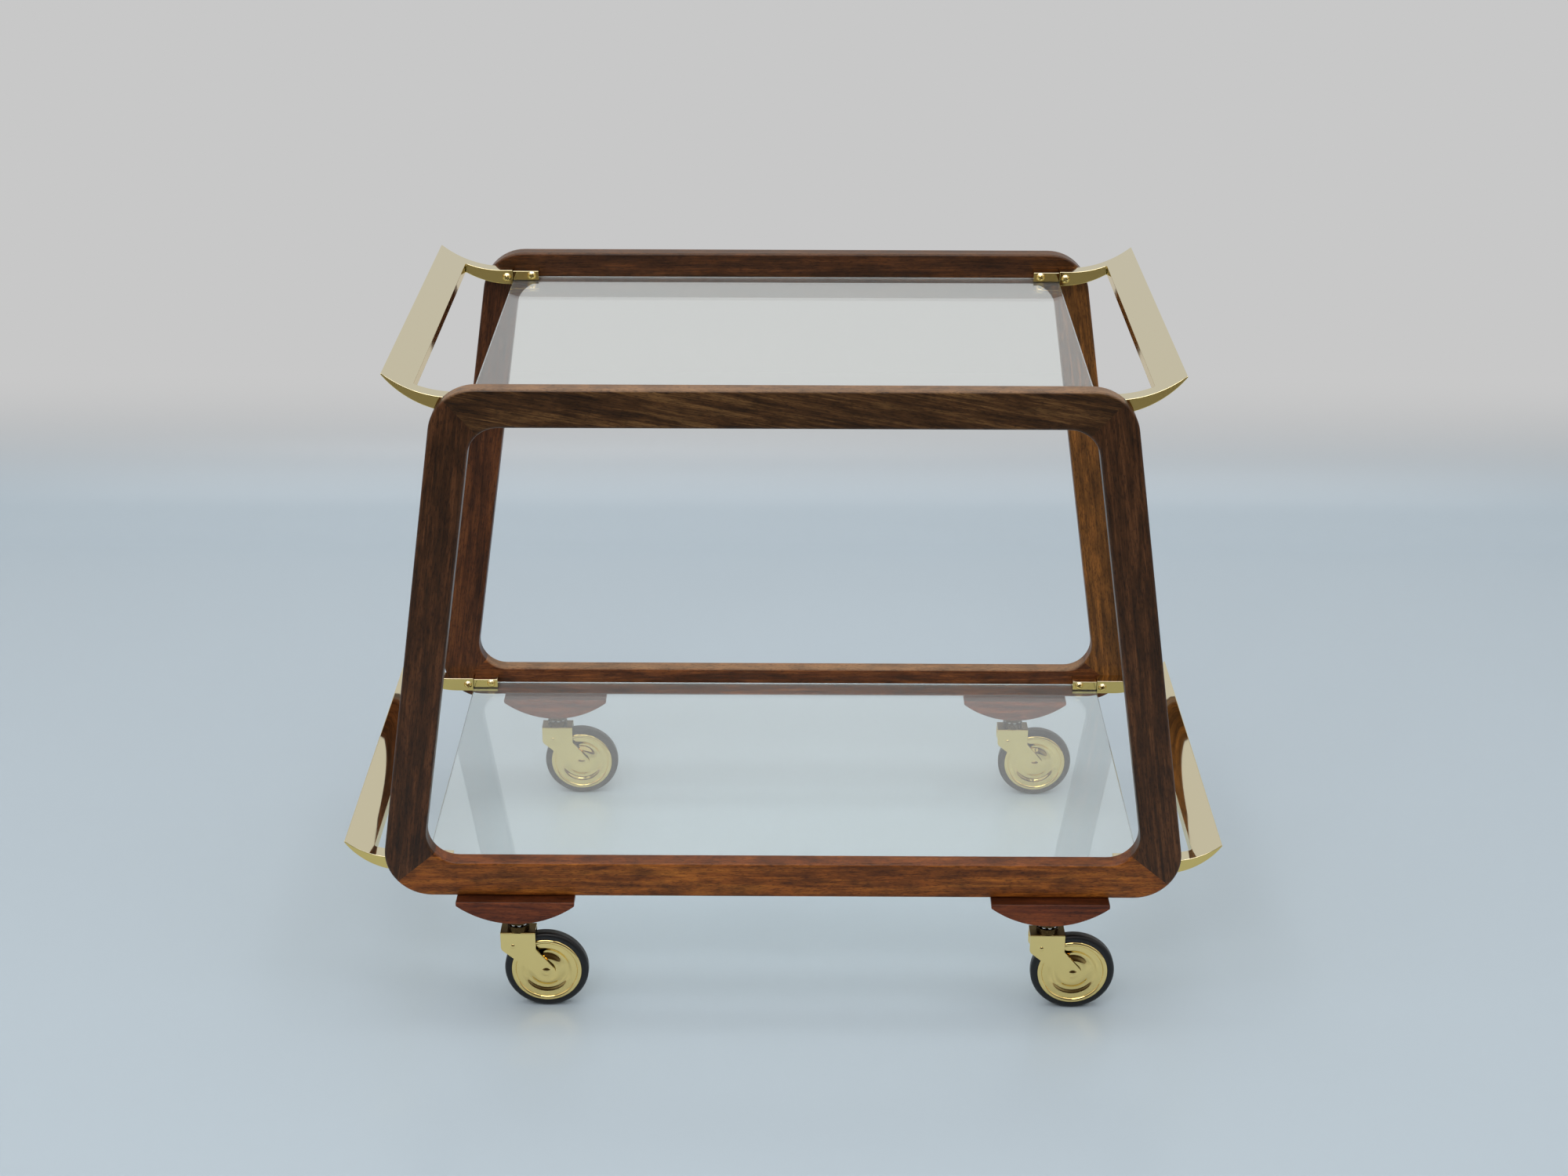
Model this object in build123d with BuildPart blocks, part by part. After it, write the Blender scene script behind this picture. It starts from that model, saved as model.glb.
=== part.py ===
from build123d import *
from math import atan2, degrees, radians, sin, sqrt
import os

# Bar cart: two trapezoid hardwood frames, two glass shelves held by brass
# clips, four curved brass handles and four swivelling brass casters.
# Millimetres. X runs along the cart, Y across it (near side is -Y), Z up.
# The origin is on the floor, under the middle of the cart.

# Frames
frame_bottom_length = 709.7
frame_top_length = 567.2
frame_top_height = 586.0
frame_outer_depth = 410.0
frame_thickness = 17.0
rail_underside = 115.5
bottom_rail_height = 33.5
top_rail_height = 33.0
leg_width = 34.0
outer_corner_radius = 40.0
inner_corner_radius = 26.5
arris_radius = 2.5
tongue_length = 24.0
tongue_width = 20.0
tongue_thickness = 4.0
tongue_cover = 3.5

# Glass shelves
glass_thickness = 5.6
upper_glass_drop = 21.9
lower_glass_drop = 14.3
upper_glass_length = 517.0
lower_glass_length = 633.0
glass_side_gap = 1.5
glass_edge_radius = 0.8

# Handles
handle_arm_width = 15.0
handle_arm_height = 13.5
handle_arm_rise = 9.5
handle_bar_width = 24.0
handle_side_gap = 0.2
handle_end_gap = 0.3
handle_tip_thickness = 1.6
handle_edge_radius = 0.5
handle_wall = 2.2
handle_under_lead = 8.0
upper_handle_reach = 68.0
upper_handle_rise = 20.9
upper_handle_straight = 10.0
lower_handle_reach = 69.5
lower_handle_rise = 16.5
lower_handle_straight = 25.0
gap_corner_radius = 2.0

# Glass clips
clip_length = 24.0
clip_depth = 15.0
clip_height = 8.7
clip_ledge_thickness = 2.2
clip_web_thickness = 1.2
clip_end_gap = 0.6
clip_edge_radius = 0.5
clip_slot_gap = 0.2

# Shelf screws
screw_head_diameter = 8.2
screw_head_height = 2.8
screw_shank_diameter = 3.6
screw_grip = 8.0
screw_tip_length = 2.5
screw_recess_depth = 1.3
screw_slot_width = 1.2
screw_cross_length = 4.6
screw_first_turn = 35
screw_turn_step = 50
handle_screw_inset = 5.5
clip_screw_inset = 6.5
clip_screw_height = 4.5

# Caster blocks
block_length = 104.0
block_depth = 40.0
block_height = 22.0
block_end_height = 4.0
block_centre = 235.0
block_edge_radius = 1.0
block_screw_spacing = 76.0
block_screw_diameter = 4.0
block_screw_head_diameter = 8.0
block_screw_head_height = 3.0
block_screw_seat = 9.5
block_screw_grip = 20.0
block_screw_recess_clearance = 0.3

# Casters
wheel_diameter = 75.0
caster_trail = 24.0
fork_top = 78.0
fork_plate_length = 31.0
fork_plate_thickness = 2.0
fork_shoulder = 17.5
fork_shoulder_radius = 6.0
fork_bend_radius = 1.2
fork_eye_radius = 8.0
tyre_width = 11.0
tyre_edge_radius = 3.6
tyre_wall_height = 6.0
tyre_web_width = 8.0
tyre_bore_diameter = 49.0
wheel_side_clearance = 1.5
disc_thickness = 1.0
disc_rim_bead = 4.4
disc_bead_height = 1.5
disc_boss_radius = 8.5
disc_boss_height = 1.1
disc_dish_radius = 18.6
disc_dish_depth = 1.9
disc_flange_radius = 23.9
bush_outer_diameter = 10.0
bush_end_clearance = 0.3
axle_diameter = 6.0
axle_clearance = 0.05
axle_head_diameter = 8.8
axle_head_height = 1.3
cheek_rivet_diameter = 3.0
cheek_rivet_head_diameter = 4.4
cheek_rivet_head_height = 0.8
cheek_rivet_offset = 4.8
cheek_rivet_drop = 14.2

# Swivel bearings
stem_diameter = 8.0
stem_clearance = 0.05
stem_head_diameter = 12.0
stem_head_height = 1.8
stem_length = 48.0
socket_outer_diameter = 11.0
socket_end_wall = 1.5
socket_end_clearance = 0.5
race_diameter = 19.5
race_seat_depth = 1.0
race_seat_clearance = 0.3
ball_diameter = 4.2
ball_count = 9
ball_circle_radius = 7.0
ball_seat_clearance = 0.05
ball_running_clearance = 0.3
race_gap = 2.4
lower_race_height = 5.4

# Places that follow from the sizes above
frame_inner_face = frame_outer_depth / 2 - frame_thickness
frame_middle = frame_outer_depth / 2 - frame_thickness / 2
bottom_rail_top = rail_underside + bottom_rail_height
top_rail_bottom = frame_top_height - top_rail_height
upper_glass_top = frame_top_height - upper_glass_drop
lower_glass_top = bottom_rail_top - lower_glass_drop
leg_lean = (frame_bottom_length - frame_top_length) / 2 / (frame_top_height - rail_underside)
leg_width_level = leg_width * sqrt(1 + leg_lean**2)
wheel_radius = wheel_diameter / 2
block_bottom = rail_underside - block_height
fork_half_width = tyre_width / 2 + wheel_side_clearance + fork_plate_thickness
cheek_inner_face = fork_half_width - fork_plate_thickness


def leg_outer_x(height):
    return frame_top_length / 2 + (frame_top_height - height) * leg_lean


def leg_inner_x(height):
    return leg_outer_x(height) - leg_width_level


# The four corners of a frame seen from the near side, as outer and inner points
outer_corners = {
    "bottom_left": (-leg_outer_x(rail_underside), rail_underside),
    "bottom_right": (leg_outer_x(rail_underside), rail_underside),
    "top_right": (leg_outer_x(frame_top_height), frame_top_height),
    "top_left": (-leg_outer_x(frame_top_height), frame_top_height),
}
inner_corners = {
    "bottom_left": (-leg_inner_x(bottom_rail_top), bottom_rail_top),
    "bottom_right": (leg_inner_x(bottom_rail_top), bottom_rail_top),
    "top_right": (leg_inner_x(top_rail_bottom), top_rail_bottom),
    "top_left": (-leg_inner_x(top_rail_bottom), top_rail_bottom),
}
frame_members = {
    "bottom_rail": ("bottom_left", "bottom_right"),
    "right_leg": ("bottom_right", "top_right"),
    "top_rail": ("top_right", "top_left"),
    "left_leg": ("top_left", "bottom_left"),
}

# Faces of the two frames that look towards -Y: each frame is built from its
# own plane by a thickness along -Y
frame_planes = {
    "near": Plane.XZ.offset(frame_inner_face),
    "far": Plane.XZ.offset(-frame_inner_face - frame_thickness),
}
side_signs = {"near": -1, "far": 1}
end_signs = {"left": -1, "right": 1}


def write_part(builder, name):
    builder.part.label = name
    export_step(builder.part, f"parts/{name}.step")


def mitre_point(corner, distance):
    """A point on the mitre line, measured outwards from the inner corner."""
    inner, outer = Vector(*inner_corners[corner]), Vector(*outer_corners[corner])
    return inner + (outer - inner).normalized() * distance


def rounded_outline(corners, radius):
    with BuildSketch() as outline:
        with BuildLine():
            Polyline(*corners.values(), close=True)
        make_face()
        fillet(outline.vertices(), radius)
    return outline.sketch


os.makedirs("parts", exist_ok=True)

# Shelf layout: glass top and glass length
shelves = {
    "upper": (upper_glass_top, upper_glass_length),
    "lower": (lower_glass_top, lower_glass_length),
}
# Handle outlines: reach, rise and the straight length before the upward curve
handle_outlines = {
    "upper": (upper_handle_reach, upper_handle_rise, upper_handle_straight),
    "lower": (lower_handle_reach, lower_handle_rise, lower_handle_straight),
}


def arm_end_x(glass_length):
    return glass_length / 2 + handle_end_gap


def handle_screw_place(shelf, end):
    glass_top, glass_length = shelves[shelf]
    height = glass_top + handle_arm_rise - handle_arm_height / 2
    return end_signs[end] * (arm_end_x(glass_length) + handle_screw_inset), height


def clip_screw_place(shelf, end):
    glass_top, glass_length = shelves[shelf]
    reach = arm_end_x(glass_length) - clip_end_gap - clip_length + clip_screw_inset
    return end_signs[end] * reach, glass_top + clip_screw_height


# Round-head screw, pointing along +Y with the underside of its head at y = 0
screw_length = handle_arm_width + screw_grip
screw_shank_radius = screw_shank_diameter / 2
screw_head_radius = screw_head_diameter / 2
screw_dome_radius = (screw_head_radius**2 + screw_head_height**2) / (2 * screw_head_height)


def shelf_screw(recess):
    with BuildPart() as screw:
        with BuildSketch(Plane.XY):
            with BuildLine():
                Polyline(
                    (0, -screw_head_height),
                    (0, screw_length),
                    (screw_shank_radius, screw_length - screw_tip_length),
                    (screw_shank_radius, 0),
                    (screw_head_radius, 0),
                )
                RadiusArc((screw_head_radius, 0), (0, -screw_head_height), screw_dome_radius)
            make_face()
        revolve(axis=Axis.Y)
        with BuildSketch(Plane.XZ.offset(screw_head_height)):
            if recess == "slot":
                Rectangle(screw_head_diameter, screw_slot_width)
            if recess == "cross":
                Rectangle(screw_cross_length, screw_slot_width)
                Rectangle(screw_slot_width, screw_cross_length)
        extrude(amount=-screw_recess_depth, mode=Mode.SUBTRACT)
    return screw.part


def shelf_screws(shelf, recess):
    """The eight screws of one shelf, each turned a step further than the last."""
    screw = shelf_screw(recess)
    turn = screw_first_turn
    with BuildPart() as screws:
        for side, sign in side_signs.items():
            face = sign * (frame_inner_face - handle_arm_width)
            about = 0 if side == "far" else 180
            for end in end_signs:
                for x, z in (handle_screw_place(shelf, end), clip_screw_place(shelf, end)):
                    with Locations(Location((x, face, z), (0, turn, about))):
                        add(screw)
                    turn += screw_turn_step
    return screws


upper_shelf_screws = shelf_screws("upper", "cross")
lower_shelf_screws = shelf_screws("lower", "slot")
write_part(upper_shelf_screws, "upper_shelf_screws")
write_part(lower_shelf_screws, "lower_shelf_screws")

# Loose tongues, glued into the mitres nearer to the outer face so that the
# shelf screws pass them
def mitre_middle(corner):
    """Distance from the inner corner to the middle of the wood on the mitre line."""
    lean = degrees(atan2(leg_lean, 1))
    half_angle = (90 - lean) / 2 if corner.startswith("bottom") else (90 + lean) / 2
    corner_cut = 1 / sin(radians(half_angle)) - 1
    whole = (Vector(*outer_corners[corner]) - Vector(*inner_corners[corner])).length
    return (whole - (outer_corner_radius + inner_corner_radius) * corner_cut) / 2


with BuildPart() as corner_tongues:
    for side, sign in side_signs.items():
        far_face = frame_outer_depth / 2 - tongue_cover
        start = far_face if sign > 0 else -(far_face - tongue_thickness)
        for corner in outer_corners:
            along = mitre_point(corner, 1) - mitre_point(corner, 0)
            middle = mitre_point(corner, mitre_middle(corner))
            plane = Plane(
                origin=(middle.X, start, middle.Y), x_dir=(along.X, 0, along.Y), z_dir=(0, -1, 0)
            )
            with BuildSketch(plane):
                Rectangle(tongue_length, tongue_width)
            extrude(amount=tongue_thickness)
write_part(corner_tongues, "corner_tongues")

# Caster block screws, and the sockets that the swivel stems run in
caster_places = {
    f"{side}_{end}": (end_signs[end] * block_centre, side_signs[side] * frame_middle)
    for side in side_signs
    for end in end_signs
}
block_screw_seat_height = block_bottom + block_screw_seat
with BuildPart() as block_screws:
    for x, y in caster_places.values():
        with BuildSketch(Plane.XY.offset(block_screw_seat_height)):
            with Locations((x - block_screw_spacing / 2, y), (x + block_screw_spacing / 2, y)):
                Circle(block_screw_diameter / 2)
        extrude(amount=rail_underside + block_screw_grip - block_screw_seat_height)
        with BuildSketch(Plane.XY.offset(block_screw_seat_height)):
            with Locations((x - block_screw_spacing / 2, y), (x + block_screw_spacing / 2, y)):
                Circle(block_screw_head_diameter / 2)
        extrude(amount=-block_screw_head_height)
write_part(block_screws, "block_screws")

stem_base = fork_top - fork_plate_thickness - stem_head_height
stem_top = fork_top - fork_plate_thickness + stem_length
socket_seat = block_bottom + race_seat_depth
socket_top = stem_top + socket_end_clearance + socket_end_wall
socket_bore_radius = stem_diameter / 2 + stem_clearance


# Everything that is let into the wood of the frames
with BuildPart() as let_in:
    for shelf in shelves:
        for end in end_signs:
            for x, z in (handle_screw_place(shelf, end), clip_screw_place(shelf, end)):
                for sign in side_signs.values():
                    hole_mouth = (x, sign * frame_inner_face, z)
                    with BuildSketch(Plane(origin=hole_mouth, x_dir=(1, 0, 0), z_dir=(0, sign, 0))):
                        Circle(screw_shank_diameter / 2)
                    extrude(amount=screw_grip)
    for x, y in caster_places.values():
        with BuildSketch(Plane.XY.offset(block_bottom)):
            with Locations((x, y)):
                Circle(socket_outer_diameter / 2)
        extrude(amount=socket_top - block_bottom)
        with BuildSketch(Plane.XY.offset(block_bottom)):
            with Locations((x - block_screw_spacing / 2, y), (x + block_screw_spacing / 2, y)):
                Circle(block_screw_diameter / 2)
        extrude(amount=rail_underside + block_screw_grip - block_bottom)
screw_holes = let_in.part


def frame_blank(side):
    """One whole frame with its edges rounded, before it is cut at the mitres."""
    with BuildPart() as blank:
        with BuildSketch(frame_planes[side]):
            add(rounded_outline(outer_corners, outer_corner_radius))
            add(rounded_outline(inner_corners, inner_corner_radius), mode=Mode.SUBTRACT)
        extrude(amount=frame_thickness)
        long_edges = blank.faces().filter_by(Axis.Y).edges()
        fillet(long_edges, arris_radius)
    return blank.part


def frame_member(side, blank, start, end):
    """The stretch of a frame between two mitres, with its joints and screw holes."""
    reach_out = outer_corner_radius
    with BuildPart() as member:
        add(blank)
        with BuildSketch(frame_planes[side]):
            with BuildLine():
                Polyline(
                    mitre_point(start, -inner_corner_radius),
                    mitre_point(start, leg_width_level + reach_out),
                    mitre_point(end, leg_width_level + reach_out),
                    mitre_point(end, -inner_corner_radius),
                    close=True,
                )
            make_face()
        extrude(amount=frame_thickness, mode=Mode.INTERSECT)
        add(corner_tongues.part, mode=Mode.SUBTRACT)
        add(screw_holes, mode=Mode.SUBTRACT)
    return member


for side in side_signs:
    blank = frame_blank(side)
    for member_name, (start, end) in frame_members.items():
        write_part(frame_member(side, blank, start, end), f"{side}_{member_name}")


# Glass shelves, with ground and polished edges
glass_depth = 2 * (frame_inner_face - glass_side_gap)
for shelf, (glass_top, glass_length) in shelves.items():
    with BuildPart() as glass:
        with BuildSketch(Plane.XY.offset(glass_top)):
            Rectangle(glass_length, glass_depth)
        extrude(amount=-glass_thickness)
        fillet(glass.edges(), glass_edge_radius)
    write_part(glass, f"{shelf}_glass_shelf")


# Handles: a curved bar with an arm at each side, hollowed from below
def handle_section(shelf, drop):
    """Side outline from the arm's end at the origin to the tip, lowered by drop."""
    reach, rise, straight = handle_outlines[shelf]
    with BuildSketch() as section:
        with BuildLine():
            top = Line((0, -drop), (straight, -drop))
            top_curve = TangentArc(top @ 1, (reach, rise - drop), tangent=(1, 0))
            tip = Line(top_curve @ 1, (reach, rise - handle_tip_thickness - drop))
            below = Line(
                (0, -handle_arm_height - drop),
                (straight - handle_under_lead, -handle_arm_height - drop),
            )
            TangentArc(below @ 1, tip @ 1, tangent=(1, 0))
            Line(below @ 0, top @ 0)
        make_face()
    return section.sketch


def handle(shelf, end):
    glass_top, glass_length = shelves[shelf]
    reach, rise, _ = handle_outlines[shelf]
    sign = end_signs[end]
    arm_end = arm_end_x(glass_length)
    arm_top = glass_top + handle_arm_rise
    half_width = frame_inner_face - handle_side_gap
    gap_half_width = frame_inner_face - handle_arm_width
    gap_length = reach - handle_bar_width
    bar_start = gap_length + handle_wall
    side_plane = Plane(
        origin=(sign * arm_end, sign * half_width, arm_top), x_dir=(sign, 0, 0), z_dir=(0, -sign, 0)
    )
    pocket_plane = side_plane.offset(handle_wall)
    middle_plane = Plane(origin=(sign * arm_end, 0, arm_top), x_dir=(sign, 0, 0), z_dir=(0, 0, 1))
    screw_x, screw_z = handle_screw_place(shelf, end)
    with BuildPart() as body:
        with BuildSketch(side_plane):
            add(handle_section(shelf, 0))
        extrude(amount=2 * half_width)
        with BuildSketch(middle_plane):
            with Locations((gap_length / 2 - gap_corner_radius, 0)):
                RectangleRounded(
                    gap_length + 2 * gap_corner_radius, 2 * gap_half_width, gap_corner_radius
                )
        extrude(amount=rise + handle_arm_height, both=True, mode=Mode.SUBTRACT)
        fillet(body.edges(), handle_edge_radius)
        with BuildSketch(pocket_plane):
            add(handle_section(shelf, handle_wall))
            with Locations((bar_start / 2, 0)):
                Rectangle(bar_start, 4 * handle_arm_height, mode=Mode.SUBTRACT)
        extrude(amount=2 * (half_width - handle_wall), mode=Mode.SUBTRACT)
        with BuildSketch(Plane.XZ.offset(-frame_inner_face)):
            with Locations((screw_x, screw_z)):
                Circle(screw_shank_diameter / 2)
        extrude(amount=2 * frame_inner_face, mode=Mode.SUBTRACT)
    return body


for shelf in shelves:
    for end in end_signs:
        write_part(handle(shelf, end), f"{shelf}_{end}_handle")


# Glass clips: a block over the glass, a thin web behind its edge and a ledge under it
def glass_clips(shelf):
    glass_top, glass_length = shelves[shelf]
    ledge_bottom = glass_top - glass_thickness - clip_ledge_thickness
    slot_top = glass_top + clip_slot_gap
    clip_top = glass_top + clip_height
    outer_end = arm_end_x(glass_length) - clip_end_gap
    middle = outer_end - clip_length / 2
    with BuildPart() as clips:
        for sign in side_signs.values():
            for end in end_signs:
                cross_plane = Plane(
                    origin=(end_signs[end] * middle - clip_length / 2, sign * frame_inner_face, 0),
                    x_dir=(0, -sign, 0),
                    z_dir=(-sign, 0, 0),
                )
                with BuildPart(mode=Mode.PRIVATE) as clip:
                    with BuildSketch(cross_plane):
                        with BuildLine():
                            Polyline(
                                (0, ledge_bottom),
                                (clip_depth, ledge_bottom),
                                (clip_depth, ledge_bottom + clip_ledge_thickness),
                                (clip_web_thickness, ledge_bottom + clip_ledge_thickness),
                                (clip_web_thickness, slot_top),
                                (clip_depth, slot_top),
                                (clip_depth, clip_top),
                                (0, clip_top),
                                close=True,
                            )
                        make_face()
                    extrude(amount=-sign * clip_length)
                    fillet(clip.faces().sort_by(Axis.Z)[-1].edges(), clip_edge_radius)
                add(clip.part)
        with BuildSketch(Plane.XZ.offset(-frame_inner_face)):
            for end in end_signs:
                with Locations(clip_screw_place(shelf, end)):
                    Circle(screw_shank_diameter / 2)
        extrude(amount=2 * frame_inner_face, mode=Mode.SUBTRACT)
    return clips


for shelf in shelves:
    write_part(glass_clips(shelf), f"{shelf}_glass_clips")


# Caster blocks: flat on top, curved underneath, screwed up into the rail
def caster_block(x, y):
    front_plane = Plane(origin=(x, y + block_depth / 2, 0), x_dir=(1, 0, 0), z_dir=(0, -1, 0))
    half_length = block_length / 2
    end_bottom = rail_underside - block_end_height
    with BuildPart() as block:
        with BuildSketch(front_plane):
            with BuildLine():
                Polyline(
                    (-half_length, end_bottom),
                    (-half_length, rail_underside),
                    (half_length, rail_underside),
                    (half_length, end_bottom),
                )
                ThreePointArc(
                    (half_length, end_bottom), (0, block_bottom), (-half_length, end_bottom)
                )
            make_face()
        extrude(amount=block_depth)
        fillet(block.edges(), block_edge_radius)
        with BuildSketch(Plane.XY.offset(block_bottom)):
            with Locations((x, y)):
                Circle(race_diameter / 2 + race_seat_clearance)
        extrude(amount=race_seat_depth, mode=Mode.SUBTRACT)
        with BuildSketch(Plane.XY.offset(block_bottom)):
            with Locations((x, y)):
                Circle(socket_outer_diameter / 2)
        extrude(amount=block_height, mode=Mode.SUBTRACT)
        with BuildSketch(Plane.XY.offset(block_bottom)):
            with Locations((x - block_screw_spacing / 2, y), (x + block_screw_spacing / 2, y)):
                Circle(block_screw_diameter / 2)
        extrude(amount=block_height, mode=Mode.SUBTRACT)
        with BuildSketch(Plane.XY.offset(block_screw_seat_height)):
            with Locations((x - block_screw_spacing / 2, y), (x + block_screw_spacing / 2, y)):
                Circle(block_screw_head_diameter / 2 + block_screw_recess_clearance)
        extrude(amount=-block_height, mode=Mode.SUBTRACT)
    return block


# Casters. Each piece is drawn round the swivel axis at x, y; the wheel trails towards +X.
lower_race_top = fork_top + lower_race_height
ball_centre_height = lower_race_top + race_gap / 2
upper_race_bottom = lower_race_top + race_gap


def revolved_upright(x, y, points):
    """A turned piece round the swivel axis, from its radius and height points."""
    with BuildPart() as turned:
        with BuildSketch(Plane(origin=(x, y, 0), x_dir=(1, 0, 0), z_dir=(0, -1, 0))):
            with BuildLine():
                Polyline(*points, close=True)
            make_face()
        revolve(axis=Axis((x, y, 0), (0, 0, 1)))
    return turned.part


def race_groove(x, y, clearance):
    with BuildPart() as groove:
        with BuildSketch(Plane(origin=(x, y, 0), x_dir=(1, 0, 0), z_dir=(0, -1, 0))):
            with Locations((ball_circle_radius, ball_centre_height)):
                Circle(ball_diameter / 2 + clearance)
        revolve(axis=Axis((x, y, 0), (0, 0, 1)))
    return groove.part


def socket(x, y):
    sleeve_radius = socket_outer_diameter / 2
    with BuildPart() as part:
        add(
            revolved_upright(
                x,
                y,
                [
                    (socket_bore_radius, upper_race_bottom),
                    (race_diameter / 2, upper_race_bottom),
                    (race_diameter / 2, socket_seat),
                    (sleeve_radius, socket_seat),
                    (sleeve_radius, socket_top),
                    (0, socket_top),
                    (0, socket_top - socket_end_wall),
                    (socket_bore_radius, socket_top - socket_end_wall),
                ],
            )
        )
        add(race_groove(x, y, ball_running_clearance), mode=Mode.SUBTRACT)
    return part


def swivel_stem(x, y):
    stem_radius = stem_diameter / 2
    plate_bottom = fork_top - fork_plate_thickness
    with BuildPart() as part:
        add(
            revolved_upright(
                x,
                y,
                [
                    (0, stem_base),
                    (stem_head_diameter / 2, stem_base),
                    (stem_head_diameter / 2, plate_bottom),
                    (stem_radius, plate_bottom),
                    (stem_radius, fork_top),
                    (race_diameter / 2, fork_top),
                    (race_diameter / 2, lower_race_top),
                    (stem_radius, lower_race_top),
                    (stem_radius, stem_top),
                    (0, stem_top),
                ],
            )
        )
        add(race_groove(x, y, ball_seat_clearance), mode=Mode.SUBTRACT)
    return part


def bearing_balls(x, y):
    with BuildPart() as part:
        with Locations(Plane(origin=(x, y, ball_centre_height))):
            with PolarLocations(ball_circle_radius, ball_count):
                Sphere(ball_diameter / 2)
    return part


def fork(x, y):
    outer_plane = Plane(origin=(x, y + fork_half_width, 0), x_dir=(1, 0, 0), z_dir=(0, -1, 0))
    inner_plane = outer_plane.offset(fork_plate_thickness)
    shoulder_height = fork_top - fork_shoulder
    half_length = fork_plate_length / 2
    plate_bottom = fork_top - fork_plate_thickness
    with BuildPart() as part:
        with BuildSketch(outer_plane) as cheek:
            with BuildLine():
                CenterArc((caster_trail, wheel_radius), fork_eye_radius, 0, 360)
                Line((-half_length, shoulder_height), (half_length, shoulder_height))
            make_hull()
            with Locations((0, (fork_top + shoulder_height) / 2)):
                Rectangle(fork_plate_length, fork_shoulder)
            fillet(cheek.vertices().sort_by(Axis.X)[:2].sort_by(Axis.Y)[0], fork_shoulder_radius)
        extrude(amount=2 * fork_half_width)
        fillet(part.faces().sort_by(Axis.Z)[-1].edges().filter_by(Axis.X), fork_bend_radius)
        with BuildSketch(inner_plane):
            with Locations((0, plate_bottom / 2)):
                Rectangle(4 * fork_plate_length, plate_bottom)
        extrude(amount=2 * cheek_inner_face, mode=Mode.SUBTRACT)
        with BuildSketch(outer_plane):
            with Locations((caster_trail, wheel_radius)):
                Circle(axle_diameter / 2)
            with Locations((-cheek_rivet_offset, fork_top - cheek_rivet_drop)):
                Circle(cheek_rivet_diameter / 2)
        extrude(amount=2 * fork_half_width, mode=Mode.SUBTRACT)
        with BuildSketch(Plane.XY.offset(plate_bottom)):
            with Locations((x, y)):
                Circle(stem_diameter / 2)
        extrude(amount=fork_plate_thickness, mode=Mode.SUBTRACT)
    return part


def domed_rivet(x, y, height, shank_radius, head_radius, head_height, inner, outer):
    """A rivet along Y from inner to outer, with a domed head at each end."""
    dome_radius = (head_radius**2 + head_height**2) / (2 * head_height)
    with BuildPart() as rivet:
        with BuildSketch(Plane(origin=(x, y, height), x_dir=(1, 0, 0), z_dir=(0, 0, 1))):
            with BuildLine():
                Line((0, inner - head_height), (0, outer + head_height))
                RadiusArc((0, outer + head_height), (head_radius, outer), dome_radius)
                Polyline(
                    (head_radius, outer),
                    (shank_radius, outer),
                    (shank_radius, inner),
                    (head_radius, inner),
                )
                RadiusArc((head_radius, inner), (0, inner - head_height), dome_radius)
            make_face()
        revolve(axis=Axis((x, y, height), (0, 1, 0)))
    return rivet.part


def fork_rivets(x, y):
    with BuildPart() as part:
        add(
            domed_rivet(
                x + caster_trail,
                y,
                wheel_radius,
                axle_diameter / 2,
                axle_head_diameter / 2,
                axle_head_height,
                -fork_half_width,
                fork_half_width,
            )
        )
        for inner, outer in (
            (-fork_half_width, -cheek_inner_face),
            (cheek_inner_face, fork_half_width),
        ):
            add(
                domed_rivet(
                    x - cheek_rivet_offset,
                    y,
                    fork_top - cheek_rivet_drop,
                    cheek_rivet_diameter / 2,
                    cheek_rivet_head_diameter / 2,
                    cheek_rivet_head_height,
                    inner,
                    outer,
                )
            )
    return part


def tyre(x, y):
    half_width = tyre_width / 2
    web_half_width = tyre_web_width / 2
    wall_radius = wheel_radius - tyre_wall_height
    with BuildPart() as part:
        with BuildSketch(Plane(origin=(x + caster_trail, y, wheel_radius))) as profile:
            with BuildLine():
                Polyline(
                    (tyre_bore_diameter / 2, -web_half_width),
                    (wall_radius, -web_half_width),
                    (wall_radius, -half_width),
                    (wheel_radius, -half_width),
                    (wheel_radius, half_width),
                    (wall_radius, half_width),
                    (wall_radius, web_half_width),
                    (tyre_bore_diameter / 2, web_half_width),
                    close=True,
                )
            make_face()
            fillet(profile.vertices().group_by(Axis.X)[-1], tyre_edge_radius)
        revolve(axis=Axis((x + caster_trail, y, wheel_radius), (0, 1, 0)))
    return part


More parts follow.
